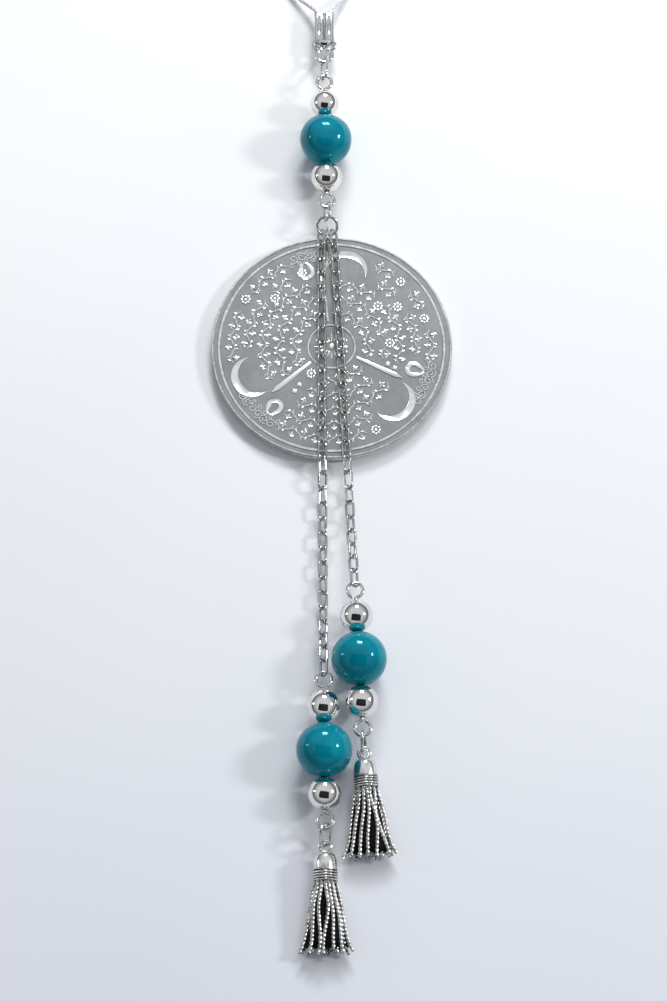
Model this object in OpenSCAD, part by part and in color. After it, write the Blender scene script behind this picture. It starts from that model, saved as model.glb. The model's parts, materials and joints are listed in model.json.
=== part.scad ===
// A hanging amulet: an etched metal disc and two beaded tassel drops on a cord,
// lying flat, with the cord end towards +Y. The origin is the centre of the disc's back face.

/* [Disc] */
// Diameter of the disc
disc_d = 45; // [44:0.5:46]
// Thickness of the disc at its rim
disc_t = 1.5; // [1.3:0.1:1.6]
// Depth of the etched field below the raised lines
etch = 0.15; // [0.1:0.05:0.2]

/* [Beads] */
// Diameter of each turquoise bead
stone_d = 10; // [9.6:0.1:10]
// Diameter of the plain metal beads
metal_d = 6; // [5.4:0.1:6]
// Diameter of the smaller metal bead at the top
small_d = 5.4; // [5:0.1:5.6]

/* [Chains] */
// Wire of the chain links
link_wire = 0.5; // [0.46:0.02:0.5]
// Length of one link over its wire
link_length = 3.93; // [3.83:0.05:3.98]
// Width of one link over its wire
link_width = 2.2; // [2.1:0.05:2.2]

/* [Tassels] */
// Diameter of the smooth cap of a tassel
cap_d = 4.2; // [3.8:0.1:4.2]
// Length of the strands below the bands
strand_length = 13; // [12:0.5:13]
// Spread of the strands at their tips, across the tassel
tip_spread = 10; // [9:0.5:10]

/* [Cord] */
// Diameter of the cord
cord_d = 1; // [0.9:0.1:1]

/* [Hidden] */
left_links = 31;
right_links = 25;
left_pairs = (left_links - 1) / 2;
right_pairs = (right_links - 1) / 2;
function numbered(side, n) = [for (i = [1:n]) str(side, "_chain_", i < 10 ? "0" : "", i)];
$fn = 32;

// what the parts lie on: the disc ring's wire passes under the disc
surface = -0.75;
gap = 0.06;
pin_wire = 0.7;
pin_bore = 0.86;
ring_wire = 0.6;
eye_r = 1.4;
stem_z = surface + stone_d / 2;

// directions: turn swings the far, -Y end towards +X, and dip lowers it
function along(turn, dip) = [sin(turn) * cos(dip), -cos(turn) * cos(dip), -sin(dip)];
function turn_of(u) = atan2(u.x, -u.y);
function dip_of(u) = asin(-u.z / norm(u));
// the gap between the middles of two wires that hook each other
function hooked(a, b) = (a + b) / 2 + gap;

module place(p, turn = 0, dip = 0) {
  translate(p) rotate([0, 0, turn]) rotate([dip, 0, 0]) children();
}

module torus(r, wire) {
  rotate_extrude() translate([r, 0]) circle(d = wire);
}

// a closed wire link from its first end's middle at the origin to its other end along -Y
module wire_link(reach, across, wire, bend) {
  half = across / 2 - bend;
  for (s = [0, 1]) translate([0, -reach / 2, 0]) rotate([0, 0, 180 * s]) {
    for (m = [0, 1]) mirror([m, 0, 0]) {
      translate([half, reach / 2 - bend, 0])
        rotate_extrude(angle = 90) translate([bend, 0]) circle(d = wire);
    }
    translate([-half, reach / 2, 0]) rotate([0, 90, 0]) cylinder(d = wire, h = 2 * half);
    translate([across / 2, bend - reach / 2, 0]) rotate([-90, 0, 0])
      cylinder(d = wire, h = reach - 2 * bend);
  }
}

// hub ring: it stands on a slope, and its lower wire carries both chains and the disc ring
hang_x = -0.85;
disc_ring_r = 2;
disc_ring_wire = 0.6;
disc_ring_at = [hang_x, disc_d / 2 - 0.2, surface + disc_ring_r + disc_ring_wire / 2];
hub_r = 1.9;
hub_slope = 40;
hub_low = disc_ring_at + 1.3 * [0, cos(95), sin(95)];
hub_up = [0, cos(hub_slope), sin(hub_slope)];
hub_high = hub_low + 2 * hub_r * hub_up;
chain_gap = 1.15;
chain_rise = hub_r - sqrt(hub_r * hub_r - chain_gap * chain_gap);
// first link's wire to the hub's wire, which crosses it on a slant
first_hook = 0.85;

// chains: each link's first wire is at a point of its route
reach = link_length - link_wire;
pitch = reach - hooked(link_wire, link_wire);
link_bend = 0.82;
over_disc = 2.95;
left_levels = [[-20, over_disc], [-33, 0.6], [-51, 0.6], [-65, stem_z]];
right_levels = [[-20, over_disc], [-32, 1.6], [-48, stem_z]];
left_lean = 0.35;
right_lean = 3.1;
// the chains lie with their links leaning, in turn one way and the other
left_tilt = 40;
right_tilt = -40;
function ease(t) = t * t * (3 - 2 * t);
function level(y, m, i = 0) =
  y >= m[0].x ? m[0].y
  : i == len(m) - 1 ? m[i].y
  : y < m[i + 1].x ? level(y, m, i + 1)
  : m[i].y + (m[i + 1].y - m[i].y) * ease((m[i].x - y) / (m[i].x - m[i + 1].x));
function heading(p, lean, m) =
  let (slope = (level(p.y - pitch, m) - level(p.y, m)) / pitch)
  let (u = [sin(lean), -cos(lean), slope])
  u / norm(u);
function route(p, n, lean, m) =
  n == 0 ? [p] : concat([p], route(p + pitch * heading(p, lean, m), n - 1, lean, m));
function chain_start(side) =
  [hang_x + side * chain_gap, hub_low.y, over_disc] + chain_rise * [0, hub_up.y, 0]
  + [0, first_hook, 0];
left_route = route(chain_start(-1), left_links, left_lean, left_levels);
right_route = route(chain_start(1), right_links, right_lean, right_levels);

// stems: from the middle of the eye that hooks the chain, the stem runs on along its turn
neck = 0.2;
eye_to_bead = eye_r + pin_wire / 2 + neck;
function stem_length(first) = 2 * eye_to_bead + first + stone_d + metal_d;
function eye_after(end, lean, turn) =
  let (wires = hooked(link_wire, pin_wire) - hooked(link_wire, link_wire))
  [end.x, end.y, stem_z] - wires * along(lean, 0) + eye_r * along(turn, 0);
left_turn = 0.6;
right_turn = 3;
left_eye = eye_after(left_route[left_links], left_lean, left_turn);
right_eye = eye_after(right_route[right_links], right_lean, right_turn);

// rings and tassels under the stems
jump_reach = 3.9;
// how far the rolled ring stays off the wires it hooks
jump_slack = 0.14;
jump_across = 3;
jump_dip = 32;
loop_wire = 0.7;
loop_r = 1;
tassel_dip = 5;
function ring_start(eye, turn) =
  eye + (stem_length(metal_d) + eye_r) * along(turn, 0)
  - (hooked(pin_wire, ring_wire) + jump_slack) * along(turn, jump_dip);
function tassel_loop(eye, turn) =
  ring_start(eye, turn)
  + (jump_reach - hooked(ring_wire, loop_wire) - jump_slack) * along(turn, jump_dip)
  + loop_r * along(turn, tassel_dip);

// top: the connector hooks the hub ring and the upper stem, which runs towards +Y
top_turn = 181.2;
top_eye = [hang_x - 0.05, 28.9, stem_z];
top_hook = top_eye + [0, -eye_r, 0];
connector_u = (top_hook - hub_high) / norm(top_hook - hub_high);
connector_at = hub_high - hooked(ring_wire, ring_wire) * connector_u;
connector_reach =
  norm(top_hook - hub_high) + hooked(ring_wire, ring_wire) + hooked(ring_wire, pin_wire);
top_end = top_eye + stem_length(small_d) * along(top_turn, 0);
top_ring_dip = 28;
top_ring_reach = 6.4;
top_ring_at =
  top_end + eye_r * along(top_turn, 0) - hooked(pin_wire, ring_wire) * along(180, top_ring_dip);
crimp_wire = 0.9;
crimp_r = 1.5;
crimp_hook =
  top_ring_at + (top_ring_reach - hooked(ring_wire, crimp_wire)) * along(180, top_ring_dip);
crimp_at = crimp_hook + [0, crimp_r, 0];
tube_d = 2;
tube_bore = 1.1;
tube_y = 2.9;
tube_length = 6;
cord_in = 3.5;

// the cord: out of one tube, round the hanging loop and back into the other, from the crimp's eye
cord_low = surface + cord_d / 2 + 0.03 - crimp_at.z;
cord_route = [
  [-0.95, 8.9, 0], [-1.5, 9.9, -0.1], [-2.8, 11.4, -0.6], [-4.8, 13.4, -1.4],
  [-7.6, 16.6, -2], [-10.4, 21, cord_low], [-12.4, 26.5, cord_low], [-13.2, 32.5, cord_low],
  [-12.8, 38.5, cord_low], [-11, 44.4, cord_low], [-7.6, 49.4, cord_low],
  [-3, 52.4, cord_low], [2.2, 52.6, cord_low], [6.8, 50, cord_low], [10, 45.4, cord_low],
  [11.4, 40, cord_low], [11.4, 34, cord_low], [10.4, 28, cord_low], [8.4, 22.4, cord_low],
  [5.6, 17.2, -2], [3.4, 13.6, -1.4], [2, 11.4, -0.6], [1.2, 9.9, -0.1], [0.95, 8.9, 0]
];
cord_steps = 3;
cord_sides = 8;

// a cubic through four route points, and its points all along the route
function bend_at(a, b, c, d, t) =
  ((2 * b) + (c - a) * t + (2 * a - 5 * b + 4 * c - d) * t * t
  + (3 * b - a - 3 * c + d) * t * t * t) / 2;
function smooth(r, n) =
  let (last = len(r) - 1)
  [for (k = [0:(last * n)])
    let (i = min(floor(k / n), last - 1))
    bend_at(r[max(i - 1, 0)], r[i], r[i + 1], r[min(i + 2, last)], k / n - i)];

module swept(path, d, sides) {
  last = len(path) - 1;
  rings = [for (i = [0:last])
    let (u = path[min(i + 1, last)] - path[max(i - 1, 0)])
    let (side_v = cross(u, [0, 0, 1]) / norm(cross(u, [0, 0, 1])))
    let (up_v = cross(side_v, u) / norm(u))
    for (k = [0:sides - 1])
      path[i] + d / 2 * (cos(360 * k / sides) * side_v + sin(360 * k / sides) * up_v)];
  walls = [for (i = [0:last - 1], k = [0:sides - 1])
    [i * sides + k, i * sides + (k + 1) % sides,
     (i + 1) * sides + (k + 1) % sides, (i + 1) * sides + k]];
  ends = [[for (k = [sides - 1:-1:0]) k], [for (k = [0:sides - 1]) last * sides + k]];
  polyhedron(rings, concat(walls, ends));
}

module hanging_cord() {
  straight = [0, -cord_in, 0];
  first = cord_route[0];
  end = cord_route[len(cord_route) - 1];
  path = concat([first + straight], smooth(cord_route, cord_steps), [end + straight]);
  color("whitesmoke") translate(crimp_at) swept(path, cord_d, cord_sides);
}

module cord_crimp() {
  color("silver") translate(crimp_at) {
    torus(crimp_r, crimp_wire);
    for (s = [-1, 1]) translate([s * 0.95, 0, 0]) {
      translate([0, tube_y, 0]) rotate([-90, 0, 0]) difference() {
        cylinder(d = tube_d, h = tube_length);
        translate([0, 0, 0.5]) cylinder(d = tube_bore, h = tube_length);
      }
      translate([s * 0.2, tube_y - 0.75, -0.7]) cylinder(d = 1.9, h = 1.4);
    }
  }
}

module top_ring() {
  color("silver") place(top_ring_at, 180, top_ring_dip) rotate([0, 65, 0])
    wire_link(top_ring_reach, 2.6, ring_wire, 1);
}

module eye_pin(first) {
  span = stem_length(first);
  for (y = [0, span]) translate([0, -y, 0]) torus(eye_r, pin_wire);
  translate([0, -eye_r, 0]) rotate([90, 0, 0]) cylinder(d = pin_wire, h = span - 2 * eye_r);
}

module bead(d) {
  difference() {
    sphere(d = d);
    rotate([90, 0, 0]) cylinder(d = pin_bore, h = d + 1, center = true);
  }
}

module stem_bead(eye, turn, down, d) {
  place(eye, turn) translate([0, -down, 0]) bead(d);
}

module top_eye_pin() {
  color("silver") place(top_end, top_turn + 180) eye_pin(small_d);
}

module top_small_bead() {
  color("silver") stem_bead(top_end, top_turn + 180, eye_to_bead + small_d / 2, small_d);
}

module top_turquoise_bead() {
  color("teal")
    stem_bead(top_end, top_turn + 180, eye_to_bead + small_d + stone_d / 2, stone_d);
}

module top_large_bead() {
  color("silver") stem_bead(top_eye, top_turn, eye_to_bead + metal_d / 2, metal_d);
}

module connector_ring() {
  color("silver") place(connector_at, turn_of(connector_u), dip_of(connector_u))
    rotate([0, 60, 0]) wire_link(connector_reach, 2.1, ring_wire, 0.85);
}

module hub_ring() {
  color("silver") translate(hub_low + hub_r * hub_up) rotate([hub_slope, 0, 0])
    torus(hub_r, ring_wire);
}

module disc_ring() {
  color("silver") translate(disc_ring_at) rotate([0, 90, 0]) torus(disc_ring_r, disc_ring_wire);
}

// raised lines, from the rim in
rim_line = 0.3;
inner_line_r = 20.9;
inner_line = 0.35;
boss_r = 4.5;
boss_line = 0.25;
hole_d = 2;
// the back's flat field stands proud of its rim band, which the disc ring's wire crosses
back_r = 19.6;
back_step = 0.1;
module engraved_disc() {
  r = disc_d / 2;
  low = disc_t - etch;
  bevel = 0.15;
  color("lightslategray") difference() {
    rotate_extrude() polygon([
      [0, 0], [back_r, 0], [back_r + back_step, back_step], [r - bevel, back_step],
      [r, back_step + bevel], [r, disc_t - bevel], [r - bevel, disc_t],
      [r - rim_line, disc_t], [r - rim_line - etch, low],
      [inner_line_r + inner_line + etch, low], [inner_line_r + inner_line, disc_t],
      [inner_line_r, disc_t], [inner_line_r - etch, low],
      [boss_r + etch, low], [boss_r, disc_t],
      [boss_r - boss_line, disc_t], [boss_r - boss_line - etch, low], [0, low]
    ]);
    translate([hang_x, r - 1.7, -1]) cylinder(d = hole_d, h = disc_t + 2);
  }
}

// one link of the route of points, turned a quarter from the one before
module link_at(points, i, lean, levels, tilt) {
  u = heading(points[i], lean, levels);
  place(points[i], turn_of(u), dip_of(u)) rotate([0, tilt + (i % 2 == 0 ? 90 : 0), 0])
    wire_link(reach, link_width - link_wire, link_wire, link_bend);
}

// links 2n-1 and 2n of a chain, of which the last node holds only one
module chain_piece(points, n, last, lean, levels, tilt) {
  color("silver") for (i = [2 * n - 2:min(2 * n - 1, last - 1)])
    link_at(points, i, lean, levels, tilt);
}

module jump_ring(eye, turn, roll) {
  color("silver") place(ring_start(eye, turn), turn, jump_dip) rotate([0, roll, 0])
    wire_link(jump_reach, jump_across, ring_wire, 1.15);
}

// one-piece cast tassel, from the middle of its loop
module tassel() {
  cap_r = cap_d / 2;
  cap_y = -loop_r - 0.1;
  band_y = cap_y - 3.2;
  strand_y = band_y - 1.7;
  color("darkgray") {
    torus(loop_r, loop_wire);
    translate([0, cap_y, 0]) rotate([90, 0, 0]) {
      rotate_extrude() polygon(concat(
        [[0, 0]], [for (a = [0:10:90]) [0.7 + (cap_r - 0.7) * sin(a), 1.6 * (1 - cos(a))]],
        [[cap_r, 3.2], [0, 3.2]]
      ));
    }
    for (k = [0:3]) translate([0, band_y - 0.45 * k, 0]) rotate([90, 0, 0])
      cylinder(r = cap_r + 0.15 - 0.1 * (k % 2), h = 0.46);
    translate([0, strand_y + 0.2, 0]) rotate([90, 0, 0]) cylinder(r = cap_r - 0.2, h = 3);
    for (a = [0:22.5:337.5]) {
      from = [(cap_r - 0.5) * cos(a), strand_y + 0.3, (cap_r - 0.5) * sin(a)];
      to = [(tip_spread / 2 - 0.5) * cos(a), strand_y - strand_length + 0.5, 1.3 * sin(a)];
      u = to - from;
      place(from, turn_of(u), dip_of(u)) {
        rotate([90, 0, 0]) cylinder(d = 1, h = norm(u));
        translate([0, -norm(u), 0]) sphere(d = 1);
      }
    }
  }
}

hanging_cord();
cord_crimp();
top_ring();
top_eye_pin();
top_small_bead();
top_turquoise_bead();
top_large_bead();
connector_ring();
hub_ring();
disc_ring();
engraved_disc();
for (n = [1:left_pairs + 1])
  chain_piece(left_route, n, left_links, left_lean, left_levels, left_tilt);
color("silver") place(left_eye, left_turn) eye_pin(metal_d);  // left_eye_pin
color("silver") stem_bead(left_eye, left_turn, eye_to_bead + metal_d / 2, metal_d);  // left_upper_bead
color("teal") stem_bead(left_eye, left_turn, eye_to_bead + metal_d + stone_d / 2, stone_d);  // left_turquoise_bead
color("silver")  // left_lower_bead
    stem_bead(left_eye, left_turn, stem_length(metal_d) - eye_to_bead - metal_d / 2, metal_d);
jump_ring(left_eye, left_turn, 58);  // left_jump_ring
place(tassel_loop(left_eye, left_turn), left_turn, tassel_dip) tassel();  // left_tassel
for (n = [1:right_pairs + 1])
  chain_piece(right_route, n, right_links, right_lean, right_levels, right_tilt);
color("silver") place(right_eye, right_turn) eye_pin(metal_d);  // right_eye_pin
color("silver") stem_bead(right_eye, right_turn, eye_to_bead + metal_d / 2, metal_d);  // right_upper_bead
color("teal") stem_bead(right_eye, right_turn, eye_to_bead + metal_d + stone_d / 2, stone_d);  // right_turquoise_bead
color("silver")  // right_lower_bead
    stem_bead(right_eye, right_turn, stem_length(metal_d) - eye_to_bead - metal_d / 2, metal_d);
jump_ring(right_eye, right_turn, 78);  // right_jump_ring
place(tassel_loop(right_eye, right_turn), right_turn, tassel_dip) tassel();  // right_tassel
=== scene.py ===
import json
import math
import random

import bpy
from mathutils import Matrix, Vector


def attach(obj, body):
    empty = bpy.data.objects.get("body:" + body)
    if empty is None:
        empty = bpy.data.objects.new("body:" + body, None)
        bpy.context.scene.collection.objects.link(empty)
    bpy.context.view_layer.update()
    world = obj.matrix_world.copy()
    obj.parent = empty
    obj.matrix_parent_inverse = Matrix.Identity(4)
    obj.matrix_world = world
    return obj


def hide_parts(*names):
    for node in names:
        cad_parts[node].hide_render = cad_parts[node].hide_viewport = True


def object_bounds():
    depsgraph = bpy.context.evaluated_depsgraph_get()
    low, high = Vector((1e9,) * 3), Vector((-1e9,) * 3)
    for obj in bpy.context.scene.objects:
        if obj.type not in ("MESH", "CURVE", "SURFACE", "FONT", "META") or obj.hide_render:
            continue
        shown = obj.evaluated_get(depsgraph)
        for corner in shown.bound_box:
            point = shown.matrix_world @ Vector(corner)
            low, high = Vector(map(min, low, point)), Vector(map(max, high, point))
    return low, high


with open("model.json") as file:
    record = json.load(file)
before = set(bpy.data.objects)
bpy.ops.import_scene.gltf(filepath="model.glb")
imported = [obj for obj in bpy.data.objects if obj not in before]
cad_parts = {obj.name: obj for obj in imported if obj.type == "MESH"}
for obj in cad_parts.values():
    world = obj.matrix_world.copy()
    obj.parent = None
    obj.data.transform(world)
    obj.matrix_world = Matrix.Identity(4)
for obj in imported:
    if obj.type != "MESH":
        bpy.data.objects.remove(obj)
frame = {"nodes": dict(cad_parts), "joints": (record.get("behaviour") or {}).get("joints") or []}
cadLow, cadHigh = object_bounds()
joints = {joint["name"]: joint for joint in frame["joints"]}
mm = 0.001
tau = 2 * math.pi


# small helpers

def clearSelection():
    bpy.ops.object.select_all(action="DESELECT")


def selectOnly(piece):
    clearSelection()
    piece.select_set(True)
    bpy.context.view_layer.objects.active = piece


def jointAt(name):
    return Vector(joints[name]["pos_m"])


def towards(turn, dip):  # the -Y end, swung towards +X by turn and lowered by dip
    t, d = math.radians(turn), math.radians(dip)
    return Vector((math.sin(t) * math.cos(d), -math.cos(t) * math.cos(d), -math.sin(d)))


def placed(at, turn=0, dip=0, roll=0):
    return (Matrix.Translation(at) @ Matrix.Rotation(math.radians(turn), 4, "Z")
            @ Matrix.Rotation(math.radians(dip), 4, "X")
            @ Matrix.Rotation(math.radians(roll), 4, "Y"))


def newCurve(name, thick, sides=3):
    clearSelection()
    bpy.ops.object.add(type="CURVE")
    piece = bpy.context.object
    piece.name = piece.data.name = name
    piece.data.dimensions = "3D"
    piece.data.bevel_depth = thick / 2
    piece.data.bevel_resolution = sides
    piece.data.use_fill_caps = True
    return piece


def addLine(piece, points, closed=False, widths=None, tilts=None):
    line = piece.data.splines.new("POLY")
    line.points.add(len(points) - 1)
    for k, at in enumerate(points):
        line.points[k].co = (at[0], at[1], at[2], 1)
        if widths:
            line.points[k].radius = widths[k]
        if tilts:
            line.points[k].tilt = tilts[k]
    line.use_cyclic_u = closed
    line.use_smooth = True


def asMesh(piece):
    selectOnly(piece)
    bpy.ops.object.convert(target="MESH")
    return bpy.context.object


def wire(name, points, thick, closed=False, sides=3):  # a bent round wire, in millimetres
    piece = newCurve(name, thick * mm, sides)
    addLine(piece, [Vector(p) * mm for p in points], closed)
    return asMesh(piece)


def smoothPath(points, steps):  # a curve through the points, as the CAD route has
    out = []
    last = len(points) - 1
    for k in range(last * steps + 1):
        i = min(k // steps, last - 1)
        t = k / steps - i
        a, b = points[max(i - 1, 0)], points[i]
        c, d = points[i + 1], points[min(i + 2, last)]
        out.append((2 * b + (c - a) * t + (2 * a - 5 * b + 4 * c - d) * t * t
                    + (3 * b - a - 3 * c + d) * t ** 3) / 2)
    return out


def joined(name, pieces):
    clearSelection()
    for piece in pieces:
        piece.select_set(True)
    bpy.context.view_layer.objects.active = pieces[0]
    bpy.ops.object.join()
    whole = bpy.context.object
    whole.name = whole.data.name = name
    return whole


def wear(piece, material):  # one material all over
    piece.data.materials.clear()
    piece.data.materials.append(material)


def finished(piece, body, node, material):
    wear(piece, material)
    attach(piece, body)
    if node:
        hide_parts(node)
    return piece


def smoothShade(piece, angle=40):
    selectOnly(piece)
    bpy.ops.object.shade_smooth_by_angle(angle=math.radians(angle))


# camera

cameraSet = {"target": (0.346, -30.315, 0), "elevation": 69.236, "distance": 546.8, "lens": 106.89}


def addCamera(s):
    tilt = math.radians(s["elevation"])
    back = Vector((0, -math.cos(tilt), math.sin(tilt)))
    bpy.ops.object.camera_add(location=(Vector(s["target"]) + back * s["distance"]) * mm)
    camera = bpy.context.object
    camera.rotation_mode = "QUATERNION"
    camera.rotation_quaternion = (-back).to_track_quat("-Z", "Y")
    camera.data.lens = s["lens"]
    camera.data.sensor_width = 36
    camera.data.clip_start, camera.data.clip_end = 0.01, 20
    bpy.context.scene.camera = camera


addCamera(cameraSet)
print("camera placed")


# materials

class Shader:  # a few short words for building a node tree
    def __init__(self, name):
        self.material = bpy.data.materials.new(name)
        self.material.use_nodes = True
        self.tree = self.material.node_tree
        self.base = self.tree.nodes["Principled BSDF"]

    def node(self, kind, **values):
        made = self.tree.nodes.new(kind)
        for key, value in values.items():
            if key in made.inputs:
                made.inputs[key].default_value = value
            else:
                setattr(made, key, value)
        return made

    def link(self, a, b):
        self.tree.links.new(a, b)

    def place(self):
        return self.node("ShaderNodeTexCoord").outputs["Object"]

    def noise(self, scale, detail=3, roughness=0.5, at=None):
        made = self.node("ShaderNodeTexNoise", Scale=scale, Detail=detail, Roughness=roughness)
        self.link(at or self.place(), made.inputs["Vector"])
        return made.outputs["Fac"]

    def spread(self, value, low, high, to=(0, 1)):
        made = self.node("ShaderNodeMapRange")
        self.link(value, made.inputs["Value"])
        ends = (("From Min", low), ("From Max", high), ("To Min", to[0]), ("To Max", to[1]))
        for key, number in ends:
            made.inputs[key].default_value = number
        return made.outputs["Result"]

    def blend(self, factor, a, b):
        made = self.node("ShaderNodeMix", data_type="RGBA")
        self.link(factor, made.inputs["Factor"])
        for key, value in ((6, a), (7, b)):
            if isinstance(value, tuple):
                made.inputs[key].default_value = (*value, 1)
            else:
                self.link(value, made.inputs[key])
        return made.outputs[2]

    def maths(self, kind, a, b):
        made = self.node("ShaderNodeMath", operation=kind)
        for k, value in enumerate((a, b)):
            if isinstance(value, (int, float)):
                made.inputs[k].default_value = value
            else:
                self.link(value, made.inputs[k])
        return made.outputs[0]

    def bump(self, height, depth):
        made = self.node("ShaderNodeBump", Strength=1.0, Distance=depth)
        self.link(height, made.inputs["Height"])
        self.link(made.outputs["Normal"], self.base.inputs["Normal"])

    def colour(self, value):
        self.link(value, self.base.inputs["Base Color"])

    def rough(self, value):
        self.link(value, self.base.inputs["Roughness"])


metalSet = {
    "polished bead": {
        "bright": (0.83, 0.815, 0.79), "dull": (0.62, 0.60, 0.57),
        "rough": (0.045, 0.16), "grain": 260, "dent": 0.000006,
    },
    "plated wire": {
        "bright": (0.68, 0.675, 0.665), "dull": (0.34, 0.33, 0.32),
        "rough": (0.07, 0.24), "grain": 900, "dent": 0.000008,
    },
    "chain metal": {
        "bright": (0.55, 0.545, 0.535), "dull": (0.15, 0.145, 0.14),
        "rough": (0.05, 0.2), "grain": 1100, "dent": 0.000010,
    },
    "raised lines": {
        "bright": (0.93, 0.925, 0.89), "dull": (0.72, 0.71, 0.68),
        "rough": (0.2, 0.38), "grain": 1500, "dent": 0.000006,
    },
}


def metal(name, s):
    shader = Shader(name)
    base = shader.base
    base.inputs["Metallic"].default_value = 1
    tarnish = shader.spread(shader.noise(s["grain"], 4, 0.6), 0.5, 0.78)
    shader.colour(shader.blend(tarnish, s["bright"], s["dull"]))
    scuffs = shader.noise(s["grain"] * 5, 2, 0.7)
    shader.rough(shader.spread(shader.maths("ADD", tarnish, scuffs), 0.3, 1.6, s["rough"]))
    shader.bump(shader.noise(s["grain"] * 2.2, 3, 0.55), s["dent"])
    return shader.material


turquoiseSet = {
    "light": (0.0, 0.235, 0.315), "mid": (0.0, 0.160, 0.226),
    "dark": (0.0, 0.100, 0.150), "rough": (0.03, 0.10),
    "clouds": 170, "veins": 210, "swirl": 420, "swirlShare": 0.0025, "shine": 0.4, "tint": (0.45, 0.9, 1),
}


def turquoise(s):
    shader = Shader("turquoise stone")
    base = shader.base
    clouds = shader.spread(shader.noise(s["clouds"], 5, 0.62), 0.36, 0.66)
    veins = shader.node("ShaderNodeTexVoronoi", feature="DISTANCE_TO_EDGE", Scale=s["veins"])
    shift = shader.node("ShaderNodeMix", data_type="VECTOR")
    shift.inputs["Factor"].default_value = s["swirlShare"]
    shader.link(shader.place(), shift.inputs[4])
    swirl = shader.node("ShaderNodeTexNoise", Scale=s["swirl"], Detail=3.0)
    shader.link(shader.place(), swirl.inputs["Vector"])
    shader.link(swirl.outputs["Color"], shift.inputs[5])
    shader.link(shift.outputs[1], veins.inputs["Vector"])
    body = shader.blend(clouds, s["mid"], s["light"])
    seams = shader.spread(veins.outputs["Distance"], 0.0, 0.10, (0.22, 0))
    shader.colour(shader.blend(seams, body, s["dark"]))
    shader.rough(shader.spread(shader.noise(900, 3), 0.3, 0.7, s["rough"]))
    shader.bump(shader.noise(520, 2), 0.000012)
    base.inputs["IOR"].default_value = 1.5
    base.inputs["Specular IOR Level"].default_value = s["shine"]
    base.inputs["Specular Tint"].default_value = (*s["tint"], 1)
    return shader.material


antiqueSet = {
    "bright": (0.86, 0.85, 0.82), "dull": (0.46, 0.45, 0.43), "black": (0.012, 0.012, 0.013),
}


def antiqueSilver(s):  # polished where it stands out, blackened in the grooves
    shader = Shader("antique silver")
    base = shader.base
    base.inputs["Metallic"].default_value = 1
    depth = shader.node("ShaderNodeAttribute", attribute_name="relief")
    scuffs = shader.spread(shader.noise(2600, 3), 0.25, 0.75, (-0.14, 0.14))
    worn = shader.maths("ADD", depth.outputs["Fac"], scuffs)
    metalTone = shader.blend(shader.spread(shader.noise(700, 4), 0.45, 0.75), s["bright"], s["dull"])
    shader.colour(shader.blend(shader.spread(worn, 0.30, 0.58), s["black"], metalTone))
    shader.rough(shader.spread(worn, 0.3, 0.7, (0.55, 0.17)))
    shader.bump(shader.noise(1900, 3), 0.000015)
    return shader.material


discSet = {
    "ground": (0.30, 0.31, 0.315), "shade": (0.24, 0.25, 0.26),
    "bright": (0.86, 0.86, 0.85), "back": (0.55, 0.55, 0.55), "top": 0.00143,
}


def etchedSteel(s):  # matte where the acid bit, polished on the lines, the edge and the back
    shader = Shader("etched steel")
    base = shader.base
    base.inputs["Metallic"].default_value = 1
    parts = shader.node("ShaderNodeSeparateXYZ")
    shader.link(shader.place(), parts.inputs[0])
    raised = shader.spread(parts.outputs["Z"], s["top"] - 0.00005, s["top"] + 0.00003)
    outward = shader.node("ShaderNodeSeparateXYZ")
    facing = shader.node("ShaderNodeNewGeometry")
    shader.link(facing.outputs["Normal"], outward.inputs[0])
    side = shader.spread(outward.outputs["Z"], 0.35, 0.75, (1, 0))
    bright = shader.maths("MAXIMUM", raised, side)
    patches = shader.spread(shader.noise(240, 4), 0.35, 0.7)
    matte = shader.blend(patches, s["ground"], s["shade"])
    polish = shader.blend(shader.spread(shader.noise(900, 4), 0.4, 0.75), s["bright"], s["back"])
    shader.colour(shader.blend(bright, matte, polish))
    smudges = shader.spread(shader.noise(1600, 3), 0.3, 0.7, (0, 0.1))
    shader.rough(shader.maths("ADD", shader.spread(bright, 0, 1, (0.52, 0.2)), smudges))
    shader.bump(shader.noise(9000, 3, 0.7), 0.00001)
    return shader.material


cordSet = {"light": (0.86, 0.87, 0.90), "dark": (0.50, 0.52, 0.57)}


def cordFibre(s):
    shader = Shader("cord fibre")
    base = shader.base
    stretch = shader.node("ShaderNodeMapping")
    stretch.inputs["Scale"].default_value = (1, 0.25, 1)
    shader.link(shader.place(), stretch.inputs["Vector"])
    fibres = shader.noise(9000, 2, 0.5, stretch.outputs["Vector"])
    shader.colour(shader.blend(shader.spread(fibres, 0.35, 0.8), s["light"], s["dark"]))
    shader.rough(shader.spread(fibres, 0.3, 0.7, (0.32, 0.55)))
    shader.bump(fibres, 0.00003)
    base.inputs["Sheen Weight"].default_value = 0.3
    return shader.material


floorSet = {
    "size": 3, "gap": 0.00002,
    # near and far: painted shade, a darker bluish floor colour towards -Y and the pale floor colour far off,
    # blended between the Y values from and to
    "near": (0.70, 0.725, 0.79), "far": (0.86, 0.87, 0.885), "from": -0.13, "to": 0.05,
}


def paleFloorPaintedShade(s):
    shader = Shader("pale floor with painted shade")
    parts = shader.node("ShaderNodeSeparateXYZ")
    shader.link(shader.place(), parts.inputs[0])
    # painted shade: the pale floor colour darkens and turns bluish towards -Y as if the light fell off
    # there, with a little noise in where it starts
    drift = shader.spread(shader.noise(9, 2), 0.3, 0.7, (-0.02, 0.02))
    uneven = shader.maths("ADD", parts.outputs["Y"], drift)
    shader.colour(shader.blend(shader.spread(uneven, s["from"], s["to"]), s["near"], s["far"]))
    shader.rough(shader.spread(shader.noise(60, 2), 0.3, 0.7, (0.6, 0.75)))
    return shader.material


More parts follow.
